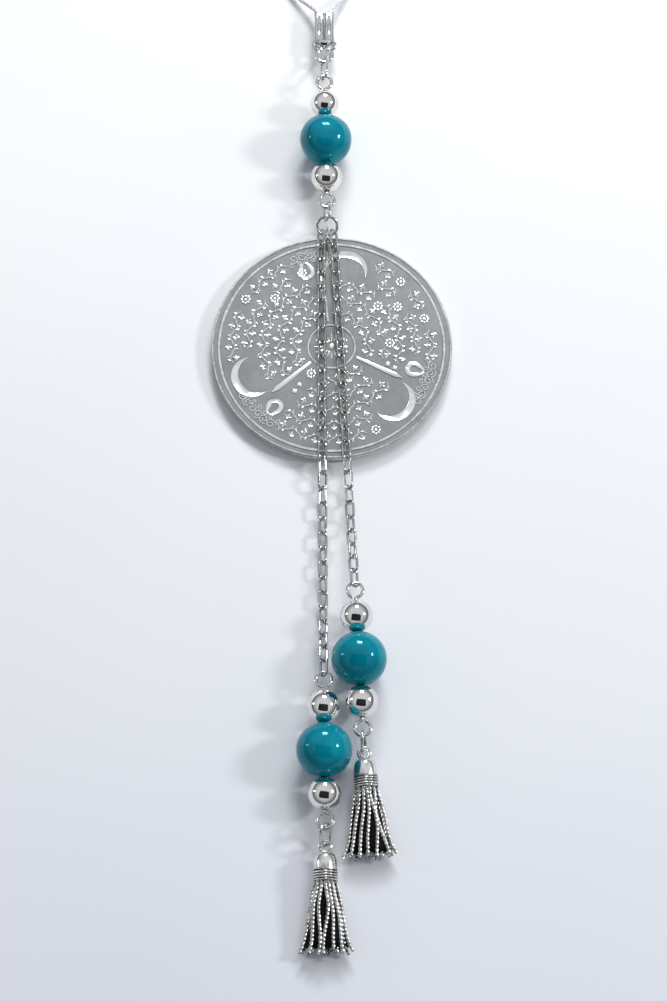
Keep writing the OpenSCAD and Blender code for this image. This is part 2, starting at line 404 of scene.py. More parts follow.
beadMetal = metal("polished bead", metalSet["polished bead"])
wireMetal = metal("plated wire", metalSet["plated wire"])
chainMetal = metal("chain metal", metalSet["chain metal"])
lineMetal = metal("raised lines", metalSet["raised lines"])
stoneGloss = turquoise(turquoiseSet)
castSilver = antiqueSilver(antiqueSet)
discSteel = etchedSteel(discSet)
cordFabric = cordFibre(cordSet)
print("materials made")


# cord

ropeSet = {
    "thick": 1.0, "plies": 3, "groove": 0.13, "twistEvery": 3.4, "inside": 3.5, "lowest": -0.22, "steps": 8,
    "eyeFromHook": (0, 0.785, 0.380),
    # from the crimp's eye; None lies on the surface
    "route": [
        (-0.95, 8.9, 0), (-1.5, 9.9, -0.1), (-2.8, 11.4, -0.6), (-4.8, 13.4, -1.4),
        (-7.6, 16.6, -2), (-10.4, 21, None), (-12.4, 26.5, None), (-13.2, 32.5, None),
        (-12.8, 38.5, None), (-11, 44.4, None), (-7.6, 49.4, None),
        (-3, 52.4, None), (2.2, 52.6, None), (6.8, 50, None), (10, 45.4, None),
        (11.4, 40, None), (11.4, 34, None), (10.4, 28, None), (8.4, 22.4, None),
        (5.6, 17.2, -2), (3.4, 13.6, -1.4), (2, 11.4, -0.6), (1.2, 9.9, -0.1), (0.95, 8.9, 0),
    ],
}
crimpEye = jointAt("crimp_swing") / mm + Vector(ropeSet["eyeFromHook"])


def pliedProfile(name, radius, plies, groove, steps):
    profile = newCurve(name, 0)
    profile.data.dimensions = "2D"
    ring = []
    for k in range(plies * steps):
        a = tau * k / (plies * steps)
        lift = groove * abs(math.cos(plies * a / 2))
        ring.append(Vector((math.cos(a), math.sin(a), 0)) * (radius - groove + lift))
    addLine(profile, ring, closed=True)
    profile.hide_render = True
    return profile


def makeCord(s):
    route = [Vector((x, y, s["lowest"] - crimpEye.z if z is None else z)) for x, y, z in s["route"]]
    inward = Vector((0, -s["inside"], 0))
    line = [route[0] + inward] + smoothPath(route, s["steps"]) + [route[-1] + inward]
    path = [(p + crimpEye) * mm for p in line]
    profile = pliedProfile("cord section", s["thick"] / 2 * mm, s["plies"], s["groove"] * mm, 6)
    rope = newCurve("hanging_cord_plied", 0)
    rope.data.bevel_mode = "OBJECT"
    rope.data.bevel_object = profile
    gone, tilts = 0, [0]
    for a, b in zip(path, path[1:]):
        gone += (b - a).length / mm
        tilts.append(tau * gone / s["twistEvery"])
    addLine(rope, path, tilts=tilts)
    rope = asMesh(rope)
    bpy.data.objects.remove(profile)
    smoothShade(rope, 60)
    finished(rope, "cord_crimp", "hanging_cord", cordFabric)
    return rope


makeCord(ropeSet)
print("cord made")


# floor and lights

stageMiddle = Vector((0, -0.03, 0))


def addFloor(s):
    clearSelection()
    bpy.ops.mesh.primitive_plane_add(size=s["size"], location=(0, 0, cadLow.z - s["gap"]))
    floor = bpy.context.object
    floor.name = "floor"
    floor.data.materials.append(paleFloorPaintedShade(s))


lightSet = {
    "top": {"at": (0.05, 0.72, 0.54), "size": (0.26, 0.20), "power": 4.4},
    "left": {"at": (-0.72, 0.08, 0.24), "size": (0.07, 0.16), "power": 0.35},
    "right": {"at": (0.70, 0.02, 0.50), "size": (0.11, 0.13), "power": 2.6},
    "over": {"at": (0.34, 0.62, 0.8), "size": (0.4, 0.4), "power": 3.4},
}


def addLights(s):
    for name, one in s.items():
        bpy.ops.object.light_add(type="AREA", location=one["at"])
        light = bpy.context.object
        light.name = "light " + name
        light.data.shape = "RECTANGLE"
        light.data.size, light.data.size_y = one["size"]
        light.data.energy = one["power"]
        light.visible_glossy = name != "over"
        aim = stageMiddle - Vector(one["at"])
        light.rotation_mode = "QUATERNION"
        light.rotation_quaternion = aim.to_track_quat("-Z", "Y")


worldSet = {
    "zenith": (0.385, 0.40, 0.42), "horizon": (0.075, 0.08, 0.085),
    "from": 0.02, "to": 0.80, "mirrored": 1.75,
}


def addWorld(s):  # dark low down and pale overhead, and stronger in reflections than as light
    world = bpy.data.worlds.new("studio")
    world.use_nodes = True
    bpy.context.scene.world = world
    tree = world.node_tree
    back = tree.nodes["Background"]
    height = tree.nodes.new("ShaderNodeSeparateXYZ")
    tree.links.new(tree.nodes.new("ShaderNodeTexCoord").outputs["Generated"], height.inputs[0])
    rise = tree.nodes.new("ShaderNodeMapRange")
    rise.interpolation_type = "SMOOTHSTEP"
    rise.inputs["From Min"].default_value = s["from"]
    rise.inputs["From Max"].default_value = s["to"]
    tree.links.new(height.outputs["Z"], rise.inputs["Value"])
    tone = tree.nodes.new("ShaderNodeMix")
    tone.data_type = "RGBA"
    tree.links.new(rise.outputs["Result"], tone.inputs["Factor"])
    tone.inputs[6].default_value = (*s["horizon"], 1)
    tone.inputs[7].default_value = (*s["zenith"], 1)
    tree.links.new(tone.outputs[2], back.inputs["Color"])
    ray = tree.nodes.new("ShaderNodeLightPath")
    level = tree.nodes.new("ShaderNodeMapRange")
    tree.links.new(ray.outputs["Is Glossy Ray"], level.inputs["Value"])
    level.inputs["To Min"].default_value = 1
    level.inputs["To Max"].default_value = s["mirrored"]
    tree.links.new(level.outputs["Result"], back.inputs["Strength"])


flagSet = {"at": (-0.02, -0.21, 0.35), "size": (0.50, 0.34)}


def addFlag(s):  # a black card near the camera, for the polished beads to mirror
    clearSelection()
    bpy.ops.mesh.primitive_plane_add(size=1)
    flag = bpy.context.object
    flag.name = "black card"
    aim = stageMiddle - Vector(s["at"])
    turned = aim.to_track_quat("-Z", "Y").to_matrix().to_4x4()
    flag.data.transform(turned @ Matrix.Diagonal((s["size"][0], s["size"][1], 1, 1)))
    flag.data.transform(Matrix.Translation(s["at"]))
    shader = Shader("black card")
    shader.base.inputs["Base Color"].default_value = (0.01, 0.01, 0.012, 1)
    shader.base.inputs["Roughness"].default_value = 0.9
    flag.data.materials.append(shader.material)
    flag.visible_camera = False
    flag.visible_shadow = False
    flag.visible_diffuse = False


addFloor(floorSet)
addLights(lightSet)
addWorld(worldSet)
addFlag(flagSet)
bpy.context.scene.view_settings.view_transform = "Standard"
print("floor and lights placed")


# CAD nodes that stay

for name, piece in frame["nodes"].items():
    if "chain" in name:
        wear(piece, chainMetal)
wear(frame["nodes"]["engraved_disc"], discSteel)


# rings of bent wire

# the two tassel drops: the turn of each towards +X, the roll of its jump ring,
# the side its eyes bend to and the seed of its strands
drops = {
    "left": {"turn": 0.6, "roll": 58, "hand": -1, "seed": 7},
    "right": {"turn": 3, "roll": 78, "hand": 1, "seed": 19},
}
ringSet = {
    "hub": {"radius": 1.9, "wire": 0.6, "split": 200},
    "disc": {"radius": 2.0, "wire": 0.6, "split": 20},
    "connector": {"across": 2.1, "bend": 0.85, "wire": 0.57, "roll": 60, "hook": 0.66},
    "top": {"reach": 6.4, "across": 2.6, "bend": 1.0, "wire": 0.6, "roll": 65, "dip": 28},
    "jump": {"reach": 3.9, "across": 3.0, "bend": 1.15, "wire": 0.57, "dip": 32},
    "splitGap": 0.05,
}


def ovalPath(reach, across, bend, steps=9):  # from the first wire's middle to the far one along -Y
    half = across / 2
    corners = [
        (half - bend, -bend, 0), (bend - half, -bend, 90),
        (bend - half, bend - reach, 180), (half - bend, bend - reach, 270),
    ]
    path = []
    for x, y, start in corners:
        for k in range(steps + 1):
            a = math.radians(start + 90 * k / steps)
            path.append(Vector((x + bend * math.cos(a), y + bend * math.sin(a), 0)))
    return path


def splitOpen(path, gap):  # opens a closed path by a fine gap after its last point
    first, last = path[0], path[-1]
    middle = (first + last) / 2
    away = (first - last).normalized() * gap
    return [middle + away] + path[1:-1] + [middle - away]


def ovalRing(name, at, turn, dip, s, reach, roll):
    path = splitOpen(ovalPath(reach, s["across"], s["bend"]), ringSet["splitGap"])
    ring = wire(name + "_wire", path, s["wire"], sides=4)
    ring.data.transform(placed(at, turn, dip, roll))
    smoothShade(ring)
    return finished(ring, name, name, wireMetal)


def roundPath(radius, start, sweep=356, steps=48):
    turns = [math.radians(start + sweep * k / steps) for k in range(steps + 1)]
    return [Vector((radius * math.cos(a), radius * math.sin(a), 0)) for a in turns]


def makeRings(s):
    low, high = jointAt("hub_ring_tip"), jointAt("connector_swing")
    slope = math.degrees(math.atan2(high.z - low.z, high.y - low.y))
    path = roundPath(s["hub"]["radius"], s["hub"]["split"])
    hub = wire("hub_ring_wire", path, s["hub"]["wire"], sides=4)
    hub.data.transform(placed((low + high) / 2, 0, slope))
    smoothShade(hub)
    finished(hub, "hub_ring", "hub_ring", wireMetal)
    path = roundPath(s["disc"]["radius"], s["disc"]["split"])
    carrier = wire("disc_ring_wire", path, s["disc"]["wire"], sides=4)
    carrier.data.transform(placed(jointAt("disc_ring_swing"), roll=90))
    smoothShade(carrier)
    finished(carrier, "disc_ring", "disc_ring", wireMetal)
    link, far = s["connector"], jointAt("top_stem_swing")
    along = (far - high).normalized()
    start = high - along * link["hook"] * mm
    turn, dip = math.degrees(math.atan2(along.x, -along.y)), math.degrees(math.asin(-along.z))
    ovalRing("connector_ring", start, turn, dip, link, (far - start).length / mm, link["roll"])
    top = s["top"]
    start = jointAt("crimp_swing") - towards(180, top["dip"]) * top["reach"] * mm
    ovalRing("top_ring", start, 180, top["dip"], top, top["reach"], top["roll"])
    jump = s["jump"]
    for side, drop in drops.items():
        start = jointAt(side + "_tassel_swing") - towards(drop["turn"], jump["dip"]) * jump["reach"] * mm
        ovalRing(side + "_jump_ring", start, drop["turn"], jump["dip"], jump, jump["reach"], drop["roll"])


makeRings(ringSet)
print("rings bent")


# stems: eye pins and beads

stemSet = {
    "eyeRadius": 1.4, "wire": 0.7, "shown": 0.68, "neck": 0.2, "stone": 10, "metal": 6, "small": 5.4,
    "neckBend": [(0, 0.5), (0.03, 0.3), (0.16, 0.1)],  # sideways, and down from the eye
    "eyeFrom": -76, "eyeSweep": 326, "eyeSteps": 36, "eyeRise": 0.05, "topTurn": 1.2,
}
beadSet = {
    "segments": 64, "rings": 42, "hole": 0.45, "lip": (0.8, 0.8, 0.99), "throat": (0.94, 0.94, 0.94),
    "stoneLump": 0.09, "topLump": 0.45, "lumpSize": 0.006, "lumpLevel": 0.62,
}


def stemLength(s, first):
    return 2 * (s["eyeRadius"] + s["wire"] / 2 + s["neck"]) + first + s["stone"] + s["metal"]


def eyeLoop(s, hand):  # from the neck round to the cut end, with the eye's middle at the origin
    r = s["eyeRadius"]
    path = [Vector((aside * hand, -r - down, 0)) for aside, down in s["neckBend"]]
    last = s["eyeSteps"]
    for k in range(last + 1):
        a = math.radians(s["eyeFrom"] + s["eyeSweep"] * k / last)
        path.append(Vector((hand * r * math.cos(a), r * math.sin(a), s["eyeRise"] * k / last)))
    return path


def eyePin(name, at, turn, span, hand):
    near = eyeLoop(stemSet, hand)
    far = [Vector((-p.x, -span - p.y, p.z)) for p in eyeLoop(stemSet, hand)]
    pin = wire(name + "_wire", list(reversed(near)) + far, stemSet["shown"], sides=5)
    pin.data.transform(placed(at, turn))
    smoothShade(pin)
    return finished(pin, name, name, wireMetal)


def bead(name, body, at, turn, size, material, lump=0):
    clearSelection()
    s = beadSet
    bpy.ops.mesh.primitive_uv_sphere_add(segments=s["segments"], ring_count=s["rings"], radius=size / 2 * mm)
    piece = bpy.context.object
    piece.name = piece.data.name = name + "_drilled"
    hole = s["hole"] * mm
    bpy.ops.object.mode_set(mode="EDIT")
    bpy.ops.mesh.select_all(action="DESELECT")
    bpy.ops.mesh.select_mode(type="VERT")
    bpy.ops.object.mode_set(mode="OBJECT")
    for vert in piece.data.vertices:
        vert.select = math.hypot(vert.co.x, vert.co.y) < hole
    bpy.ops.object.mode_set(mode="EDIT")
    bpy.ops.mesh.delete(type="VERT")
    bpy.ops.mesh.select_all(action="SELECT")
    bpy.ops.mesh.region_to_loop()
    bpy.ops.mesh.extrude_region_move()
    bpy.ops.transform.resize(value=s["lip"])
    bpy.ops.mesh.extrude_region_move()
    bpy.ops.transform.resize(value=s["throat"])
    bpy.ops.mesh.bridge_edge_loops()
    bpy.ops.mesh.select_all(action="SELECT")
    bpy.ops.mesh.normals_make_consistent(inside=False)
    bpy.ops.object.mode_set(mode="OBJECT")
    if lump:
        texture = bpy.data.textures.new("lumps", "CLOUDS")
        texture.noise_scale = s["lumpSize"]
        texture.noise_depth = 1
        push = piece.modifiers.new("uneven", "DISPLACE")
        push.texture = texture
        push.texture_coords = "LOCAL"
        push.strength = lump * mm
        push.mid_level = s["lumpLevel"]
        bpy.ops.object.modifier_apply(modifier=push.name)
    smoothShade(piece, 50)
    piece.data.transform(placed(at, turn) @ Matrix.Rotation(math.radians(90), 4, "X"))
    return finished(piece, body, name, material)


def makeStem(side, eyeAt, turn, first, names, hand, lumps):
    s = stemSet
    eyeToBead = s["eyeRadius"] + s["wire"] / 2 + s["neck"]
    eyePin(side + "_eye_pin", eyeAt, turn, stemLength(s, first), hand)
    gone = eyeToBead
    for name, size, lump in zip(names, (first, s["stone"], s["metal"]), (0, lumps, 0)):
        middle = eyeAt + towards(turn, 0) * (gone + size / 2) * mm
        stone = "turquoise" in name
        look, slot = (stoneGloss, "turquoise_stone") if stone else (beadMetal, "polished_bead")
        bead(name, name, middle, turn, size, look, lump)
        gone += size


def makeStems(s):
    topEnd = jointAt("top_ring_swing") - towards(180 + s["topTurn"], 0) * s["eyeRadius"] * mm
    threaded = ("top_small_bead", "top_turquoise_bead", "top_large_bead")
    makeStem("top", topEnd, s["topTurn"], s["small"], threaded, 1, beadSet["topLump"])
    for side, drop in drops.items():
        wireAt = jointAt(side + "_jump_ring_swing")
        eyeAt = wireAt - towards(drop["turn"], 0) * (stemLength(s, s["metal"]) + s["eyeRadius"]) * mm
        threaded = [side + part for part in ("_upper_bead", "_turquoise_bead", "_lower_bead")]
        makeStem(side, eyeAt, drop["turn"], s["metal"], threaded, drop["hand"], beadSet["stoneLump"])


makeStems(stemSet)
print("stems threaded")


# tassels

tasselSet = {
    "dip": 5, "hookBack": 0.85, "loopRadius": 1.0, "loopWire": 0.67,
    "cap": [
        (0.5, -0.98), (1.1, -1.03), (1.55, -1.27), (1.86, -1.72), (2.03, -2.35), (2.09, -3.2), (2.1, -4.25),
    ],
    "bands": 4, "bandTop": -4.3, "bandStep": 0.45, "bandRadius": 2.26,
    "bandShape": [
        (0.0, -0.26), (0.17, -0.22), (0.27, -0.02), (0.42, 0.03), (0.62, 0.03), (0.77, -0.02), (0.86, -0.22),
    ],
    "strandTop": -6.05, "strandEnd": -18.9, "strand": 0.78, "groove": 0.26, "twistEvery": 1.5,
    "front": 7, "between": 6, "back": 8, "sunk": 0.5, "topHalf": 1.72, "tipHalf": 4.75,
    "points": 40, "tipUneven": (-0.1, 0.9), "sway": (0.25, 0.6), "swayTurns": (4.2, 6.4),
}


def lathe(name, outline, steps=40):  # turns (radius, y) round the Y axis
    clearSelection()
    bpy.ops.mesh.primitive_circle_add(vertices=steps, radius=outline[0][0] * mm, fill_type="NGON")
    piece = bpy.context.object
    piece.name = name
    bpy.ops.object.mode_set(mode="EDIT")
    bpy.ops.mesh.select_all(action="SELECT")
    bpy.ops.transform.translate(value=(0, 0, outline[0][1] * mm))
    for (r0, y0), (r1, y1) in zip(outline, outline[1:]):
        bpy.ops.mesh.extrude_region_move(TRANSFORM_OT_translate={"value": (0, 0, (y1 - y0) * mm)})
        bpy.ops.transform.resize(value=(r1 / r0, r1 / r0, 1))
    bpy.ops.mesh.select_all(action="SELECT")
    bpy.ops.mesh.normals_make_consistent(inside=False)
    bpy.ops.object.mode_set(mode="OBJECT")
    piece.data.transform(Matrix.Rotation(math.radians(-90), 4, "X"))
    return piece


def paint(piece, valueOf):  # the relief attribute, 1 on the polished heights and 0 in the grooves
    layer = piece.data.attributes.new("relief", "FLOAT", "POINT")
    for k, vert in enumerate(piece.data.vertices):
        layer.data[k].value = valueOf(vert.co / mm)


def strandPath(s, side, place, chance):
    top, end = s["strandTop"] + 0.35, s["strandEnd"] + chance.uniform(*s["tipUneven"])
    path = []
    sway, phase = chance.uniform(*s["sway"]), chance.uniform(0, tau)
    turns = chance.uniform(*s["swayTurns"])
    depth = math.sqrt(max(0.0, 1 - place * place))
    for k in range(s["points"]):
        t = k / (s["points"] - 1)
        flare = 0.36 * t + 0.26 * math.sin(math.pi * min(1, t * 1.6) / 2) + 0.38 * t ** 6
        x = place * (s["topHalf"] + (s["tipHalf"] - s["topHalf"]) * flare)
        x += sway * math.sin(phase + turns * t) * min(1, 3 * t) * (1 - abs(place) ** 4)
        z = side * ((1.55 - 0.55 * t) * depth + 0.12)
        path.append(Vector((x, top + (end - top) * t, z)))
    return path


def castStrand(s, profile, facing, place, sunk, chance):  # a twisted strand, dark in its grooves
    path = [p - Vector((0, 0, facing * sunk)) for p in strandPath(s, facing, place, chance)]
    dense = smoothPath(path, 3)
    rope = newCurve("strand", 0)
    rope.data.bevel_mode = "OBJECT"
    rope.data.bevel_object = profile
    gone, tilts = chance.uniform(0, s["twistEvery"]), [0]
    for a, b in zip(dense, dense[1:]):
        gone += (b - a).length
        tilts.append(tau * gone / s["twistEvery"])
    shares = [k / len(dense) for k in range(len(dense))]
    widths = [0.86 + 0.14 * min(1, 4 * t) - 0.25 * max(0, (t - 0.97) / 0.03) for t in shares]
    addLine(rope, [p * mm for p in dense], widths=widths, tilts=tilts)
    rope = asMesh(rope)
    ring = len(rope.data.vertices) // len(dense)
    low, high = s["strand"] / 2 - s["groove"], s["strand"] / 2
    layer = rope.data.attributes.new("relief", "FLOAT", "POINT")
    for k, vert in enumerate(rope.data.vertices):
        near = min(k // ring, len(dense) - 1)
        lift = ((vert.co / mm - dense[near]).length / widths[near] - low) / (high - low)
        outward = (vert.co.z / mm - dense[near].z) * facing / high
        layer.data[k].value = max(0, min(1, lift - 0.30 + 0.42 * outward - 0.25 * sunk))
    return rope


def strandCore(s):  # the flattened body behind the strands, nearly black
    top, end = s["strandTop"], s["strandEnd"]
    core = lathe("core", [
        (0.4, top + 0.4), (1.75, top + 0.3), (2.25, -8.6), (2.9, -12.6),
        (3.6, -16.6), (4.0, end + 1.3), (3.4, end + 1.1),
    ])
    for vert in core.data.vertices:
        down = min(1, max(0, (top - vert.co.y / mm) / 12))
        vert.co.z *= 0.78 - 0.50 * down
    paint(core, lambda at: 0.08)
    return core


def tasselCap(s):
    cap = lathe("cap", s["cap"])
    paint(cap, lambda at: 0.95 if at.y > -4.2 else 0.35)
    return cap


def tasselBands(s):
    edge = [(0.5, s["bandTop"] + 0.02)]
    for k in range(s["bands"]):
        y = s["bandTop"] - s["bandStep"] * k
        for part, lift in s["bandShape"]:
            edge.append((s["bandRadius"] + lift, y - s["bandStep"] * part))
    edge.append((0.5, s["strandTop"] - 0.1))
    bands = lathe("bands", edge)
    paint(bands, lambda at: max(0, min(1, (math.hypot(at.x, at.z) - s["bandRadius"] + 0.16) / 0.13)))
    return bands


def tasselLoop(s):
    path = roundPath(s["loopRadius"], -90, 360, 40)[:-1]
    loop = wire("loop", path, s["loopWire"], closed=True, sides=5)
    paint(loop, lambda at: 0.9 if at.y > -0.7 else 0.5)
    return loop


def makeTassel(side, s):
    chance = random.Random(drops[side]["seed"])
    profile = pliedProfile("strand section", s["strand"] / 2 * mm, 2, s["groove"] * mm, 7)
    lines = [(1, -1 + 2 * k / (s["front"] - 1), 0) for k in range(s["front"])]
    lines += [(1, (-1 + 2 * (k + 0.5) / s["between"]) * 0.9, s["sunk"]) for k in range(s["between"])]
    lines += [(-1, (-1 + 2 * (k + 0.5) / s["back"]) * 0.94, 0) for k in range(s["back"])]
    parts = [castStrand(s, profile, facing, place, sunk, chance) for facing, place, sunk in lines]
    bpy.data.objects.remove(profile)
    for makePart in (strandCore, tasselCap, tasselBands, tasselLoop):
        parts.append(makePart(s))
    whole = joined(side + "_tassel_cast", parts)
    smoothShade(whole, 55)
    turn = drops[side]["turn"]
    middle = jointAt(side + "_tassel_swing") - towards(turn, ringSet["jump"]["dip"]) * s["hookBack"] * mm
    middle += towards(turn, s["dip"]) * s["loopRadius"] * mm
    whole.data.transform(placed(middle, turn, s["dip"]))
    finished(whole, side + "_tassel", side + "_tassel", castSilver)


for side in drops:
    makeTassel(side, tasselSet)
print("tassels cast")


# crimp

crimpSet = {
    "loopRadius": 1.5, "loopWire": 0.9, "loopFrom": 120, "loopSweep": 300,
    "tubeWide": 1.86, "tubeWall": 0.26, "tubeFrom": 2.9, "tubeLong": 6.0, "tubeDeep": 4.5, "apart": 0.95,
    "corner": 0.5, "soft": 0.09,
    "markWide": 0.46, "markLong": 2.0, "markBall": 0.30, "markAt": 2.9, "dent": 0.14,
    "curlRadius": 0.95, "curlWire": 0.74, "curlSteps": 45, "curlStep": 9, "curlShrink": 0.18,
    "curlSide": 1.15, "curlUp": 1.95, "curlFlat": 0.9, "curlRise": 0.55,
    "neck": [(0.9, 3.1), (1.02, 2.9), (0.9, 2.3), (0.6, 1.9), (0.3, 1.7)], "neckWide": 1.7,
}


def squareTube(s, x):  # a square tube with round edges, open towards the cord
    wide = s["tubeWide"] * mm
    clearSelection()
    bpy.ops.mesh.primitive_cube_add(size=1)
    tube = bpy.context.object
    tube.name = "tube"
    tube.data.transform(Matrix.Diagonal((wide, s["tubeLong"] * mm, wide, 1)))
    tube.data.transform(Matrix.Translation((x * mm, (s["tubeFrom"] + s["tubeLong"] / 2) * mm, 0)))
    bpy.ops.object.mode_set(mode="EDIT")
    bpy.ops.mesh.select_mode(type="FACE")
    bpy.ops.mesh.select_all(action="DESELECT")
    bpy.ops.object.mode_set(mode="OBJECT")
    for face in tube.data.polygons:
        face.select = face.normal.y > 0.9
    bpy.ops.object.mode_set(mode="EDIT")
    bpy.ops.mesh.inset(thickness=s["tubeWall"] * mm)
    bpy.ops.mesh.extrude_region_move(TRANSFORM_OT_translate={"value": (0, -s["tubeDeep"] * mm, 0)})
    bpy.ops.mesh.select_mode(type="EDGE")
    bpy.ops.mesh.select_all(action="DESELECT")
    bpy.ops.object.mode_set(mode="OBJECT")
    verts = tube.data.vertices
    for edge in tube.data.edges:
        a, b = verts[edge.vertices[0]].co, verts[edge.vertices[1]].co
        edge.select = abs(a.y - b.y) > 2 * mm
    bpy.ops.object.mode_set(mode="EDIT")
    bpy.ops.mesh.bevel(offset=s["corner"] * mm, segments=5)
    bpy.ops.object.mode_set(mode="OBJECT")
    soften = tube.modifiers.new("edges", "BEVEL")
    soften.width = s["soft"] * mm
    soften.segments = 3
    soften.limit_method = "ANGLE"
    soften.angle_limit = math.radians(50)
    bpy.ops.object.modifier_apply(modifier=soften.name)
    return tube


def pressMark(tube, s, x):  # the plier's mark: a long shallow oval in the upper face
    clearSelection()
    bpy.ops.mesh.primitive_uv_sphere_add(segments=24, ring_count=16, radius=1)
    press = bpy.context.object
    press.name = "press"
    reach = (s["markBall"] + s["dent"]) * mm
    height = s["tubeWide"] / 2 * mm + s["markBall"] * mm
    press.data.transform(Matrix.Diagonal((s["markWide"] * mm, s["markLong"] * mm, reach, 1)))
    press.data.transform(Matrix.Translation((x * mm, (s["tubeFrom"] + s["markAt"]) * mm, height)))
    selectOnly(tube)
    cut = tube.modifiers.new("mark", "BOOLEAN")
    cut.object = press
    cut.operation = "DIFFERENCE"
    cut.solver = "EXACT"
    bpy.ops.object.modifier_apply(modifier=cut.name)
    bpy.data.objects.remove(press)


def crimpTube(s, x):
    tube = squareTube(s, x)
    pressMark(tube, s, x)
    return tube


def crimpCurl(s, hand):  # the wire lobe on one side of the loop
    last = s["curlSteps"]
    path = []
    for k in range(last + 1):
        a = math.radians(90 - hand * (k * s["curlStep"]))
        r = s["curlRadius"] * (1 - s["curlShrink"] * k / last)
        x, y = hand * s["curlSide"] + r * math.cos(a), s["curlUp"] + s["curlFlat"] * r * math.sin(a)
        path.append(Vector((x, y, s["curlRise"] - 2 * s["curlRise"] * k / last)))
    return wire("curl", path, s["curlWire"], sides=4)


def makeCrimp(s):
    parts = [crimpTube(s, -s["apart"]), crimpTube(s, s["apart"])]
    loop = roundPath(s["loopRadius"], s["loopFrom"], s["loopSweep"], 44)
    parts.append(wire("loop", loop, s["loopWire"], sides=5))
    parts += [crimpCurl(s, -1), crimpCurl(s, 1)]
    neck = lathe("neck", s["neck"], 24)
    for vert in neck.data.vertices:
        vert.co.x *= s["neckWide"]
    parts.append(neck)
    whole = joined("cord_crimp_fitting", parts)
    smoothShade(whole, 35)
    whole.data.transform(Matrix.Translation(crimpEye * mm))
    finished(whole, "cord_crimp", "cord_crimp", wireMetal)


makeCrimp(crimpSet)
print("crimp made")


# ornament on the disc

ornamentSet = {
    "floor": 1.35, "height": 0.12, "line": 0.26,
    "bands": [6.9, 9.9, 12.8, 15.7, 18.6], "wave": 2.15, "swing": 0.62,
    "rays": [98, 220, 334], "rayFrom": 5.1, "rayTo": 14.6, "clearFrom": 4.9, "clearTo": 20.6,
    "rosettes": [
        (-10.7, 9.8), (13, 13.2), (12.4, 8), (8.7, 8.2), (17.4, 5.6),
        (10.9, 0.6), (8.2, -16.9), (-3.8, -5.6), (-16.2, 9.6), (-5.6, 15.0),
    ],
    "diamonds": [(-6.0, -7.8), (-6.9, -9.1), (10.5, -3.6), (11.8, -4.4)],
}


def polar(r, degrees):
    return Vector((r * math.cos(math.radians(degrees)), r * math.sin(math.radians(degrees)), 0))


def flatShape(name, outlines, s, edge=0.05):  # raised plates with a fine chamfer, one for each outline
    verts, faces = [], []
    for outline in outlines:
        faces.append(list(range(len(verts), len(verts) + len(outline))))
        verts += [(p.x * mm, p.y * mm, (s["floor"] - 0.02) * mm) for p in outline]
    clearSelection()
    bpy.ops.object.add(type="MESH")
    piece = bpy.context.object
    piece.name = piece.data.name = name
    piece.data.from_pydata(verts, [], faces)
    bpy.ops.object.mode_set(mode="EDIT")
    bpy.ops.mesh.select_all(action="SELECT")
    bpy.ops.mesh.normals_make_consistent(inside=False)
    bpy.ops.object.mode_set(mode="OBJECT")
    if piece.data.polygons[0].normal.z < 0:
        piece.data.flip_normals()
    bpy.ops.object.mode_set(mode="EDIT")
    bpy.ops.mesh.select_all(action="SELECT")
    rise = (s["height"] - edge / 2 + 0.02) * mm
    bpy.ops.mesh.extrude_region_move(TRANSFORM_OT_translate={"value": (0, 0, rise)})
    bpy.ops.mesh.inset(thickness=edge * mm, depth=edge / 2 * mm)
    bpy.ops.object.mode_set(mode="OBJECT")
    smoothShade(piece, 30)
    return piece


def strip(points, widths):  # an outline of changing width along a line
    left, right = [], []
    for k, p in enumerate(points):
        a, b = points[max(k - 1, 0)], points[min(k + 1, len(points) - 1)]
        side = Vector((-(b - a).y, (b - a).x, 0)).normalized()
        left.append(p + side * widths[k] / 2)
        right.append(p - side * widths[k] / 2)
    return left + right[::-1]


def arcThrough(a, b, c, steps):  # points of the circle through three points
    d = 2 * (a.x * (b.y - c.y) + b.x * (c.y - a.y) + c.x * (a.y - b.y))
    x = (a.length_squared * (b.y - c.y) + b.length_squared * (c.y - a.y)
         + c.length_squared * (a.y - b.y)) / d
    y = (a.length_squared * (c.x - b.x) + b.length_squared * (a.x - c.x)
         + c.length_squared * (b.x - a.x)) / d
    middle = Vector((x, y, 0))
    start, over, end = (math.atan2((p - middle).y, (p - middle).x) for p in (a, b, c))
    sweep = (end - start) % tau
    if (over - start) % tau > sweep:
        sweep -= tau
    r = (a - middle).length
    turns = [start + sweep * k / steps for k in range(steps + 1)]
    return [middle + Vector((math.cos(a), math.sin(a), 0)) * r for a in turns]


def spiral(middle, radius, turns, start, hand, steps=26, inner=0.22):
    path = []
    for k in range(steps + 1):
        t = k / steps
        a = start + hand * tau * turns * t
        path.append(middle + Vector((math.cos(a), math.sin(a), 0)) * radius * (1 - (1 - inner) * t))
    return path


def isFree(p, s, art, spare=0.0):  # clear of the larger shapes, the medallion and the rim
    clear = all((p - centre).length > room + spare for centre, room in art["taken"])
    return clear and s["clearFrom"] < p.length < s["clearTo"]


def addRay(s, art, angle):  # a bar towards the rim and a crescent beside it
    axis = [polar(r, angle) for r in (s["rayFrom"], 8, 11, 13.2, s["rayTo"])]
    art["plates"].append(strip(axis, [0.45, 0.66, 0.86, 0.95, 0.14]))
    art["taken"] += [(polar(r + 0.5, angle), 0.65) for r in range(5, 14)] + [(polar(14.4, angle), 0.65)]
    bow = arcThrough(polar(15.0, angle - 3), polar(19.2, angle - 20), polar(15.6, angle - 32), 26)
    widths = [0.10 + 1.3 * max(0, math.sin(math.pi * k / 26)) ** 0.9 for k in range(27)]
    art["plates"].append(strip(bow, widths))
    art["taken"] += [(p, 0.9) for p in bow[::2]] + [(polar(16.2, angle - 18), 1.9)]


